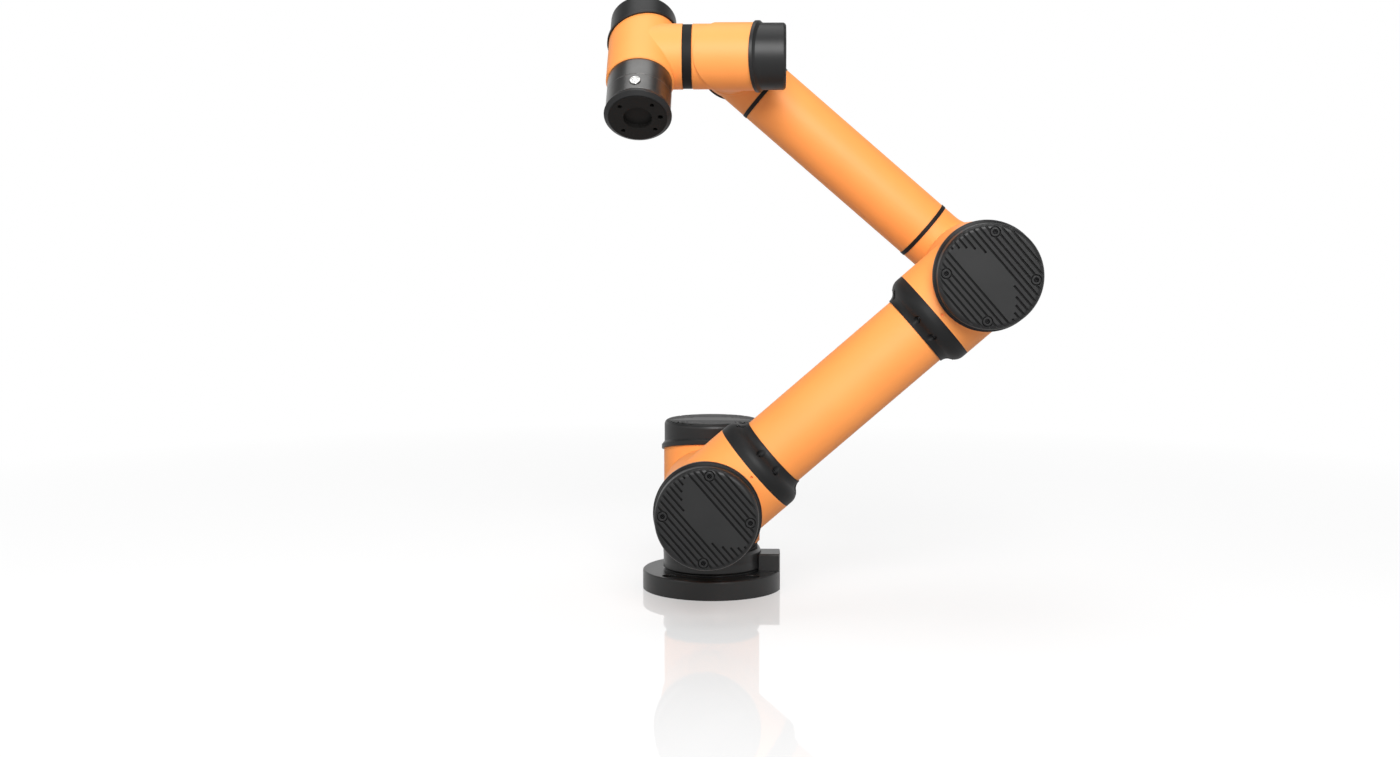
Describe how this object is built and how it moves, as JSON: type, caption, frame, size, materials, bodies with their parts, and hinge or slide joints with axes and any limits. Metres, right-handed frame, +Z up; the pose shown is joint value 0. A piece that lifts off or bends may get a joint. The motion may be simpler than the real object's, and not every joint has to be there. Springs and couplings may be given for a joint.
{
  "type": "six-axis robot arm",
  "caption": "Jointed industrial robot arm of orange tubes and drum-shaped joint housings with black grooved covers, on a round bolt-down base, ending in a turning tool flange.",
  "frame": {"origin": "middle of the base plate's underside, on the axis of the first joint", "axes": "+Z up from the floor, +X the side that the cable block and the raised elbow are on, -Y the side that the second and third joints' covers face"},
  "size_m": [0.4858, 0.3107, 0.7028],
  "materials": {
    "orange_paint": "satin powder coat",
    "cover_plastic": "fine satin moulding",
    "base_metal": "smooth black coat",
    "seal_rubber": "matte",
    "barrel_metal": "turned and dark anodised",
    "connector_metal": "bright"
  },
  "bodies": {
    "base": {"base_plate": "base_metal", "base_column": "base_metal", "cable_block": "base_metal", "cable_inlet": "seal_rubber", "base_seal_ring": "seal_rubber"},
    "shoulder": {"shoulder_housing": "orange_paint", "shoulder_cap": "cover_plastic"},
    "upper_arm": {"lower_joint_housing": "orange_paint", "lower_joint_cap": "cover_plastic", "lower_collar": "cover_plastic", "upper_arm_tube": "orange_paint", "upper_collar": "cover_plastic", "elbow_joint_housing": "orange_paint", "elbow_joint_cap": "cover_plastic"},
    "forearm": {"elbow_hub": "orange_paint", "forearm_lower_ring": "seal_rubber", "forearm_tube": "orange_paint", "forearm_upper_ring": "seal_rubber", "wrist_1_housing": "orange_paint", "wrist_1_cap": "cover_plastic", "wrist_1_ring": "seal_rubber"},
    "wrist_1": {"wrist_2_housing": "orange_paint", "wrist_2_cap": "cover_plastic", "wrist_2_ring": "seal_rubber"},
    "wrist_2": {"wrist_3_housing": "orange_paint", "wrist_3_cap": "cover_plastic", "wrist_3_barrel": "barrel_metal"},
    "tool": {"tool_flange": "barrel_metal", "tool_flange_rim": "cover_plastic", "tool_connector": "connector_metal"}
  },
  "joints": [
    {"name": "base_turn", "type": "hinge", "parent": "base", "child": "shoulder", "pos_m": [0, 0, 0.0578], "axis": [0, 0, 1], "range_deg": [-175, 175]},
    {"name": "shoulder_turn", "type": "hinge", "parent": "shoulder", "child": "upper_arm", "pos_m": [0, -0.075, 0.122], "axis": [0, -1, 0], "range_deg": [-46, 144]},
    {"name": "elbow_turn", "type": "hinge", "parent": "upper_arm", "child": "forearm", "pos_m": [0.30792, -0.075, 0.38967], "axis": [0, 1, 0], "range_deg": [-37, 233]},
    {"name": "wrist_1_turn", "type": "hinge", "parent": "forearm", "child": "wrist_1", "pos_m": [0.02459, -0.0685, 0.6338], "axis": [0, -1, 0], "range_deg": [-126, 224]},
    {"name": "wrist_2_turn", "type": "hinge", "parent": "wrist_1", "child": "wrist_2", "pos_m": [-0.02941, -0.1255, 0.6338], "axis": [1, 0, 0], "range_deg": [-181, 89]},
    {"name": "tool_turn", "type": "hinge", "parent": "wrist_2", "child": "tool", "pos_m": [-0.07641, -0.17274, 0.58489], "axis": [0, -0.6947, -0.7193], "range_deg": [-175, 175]}
  ]
}
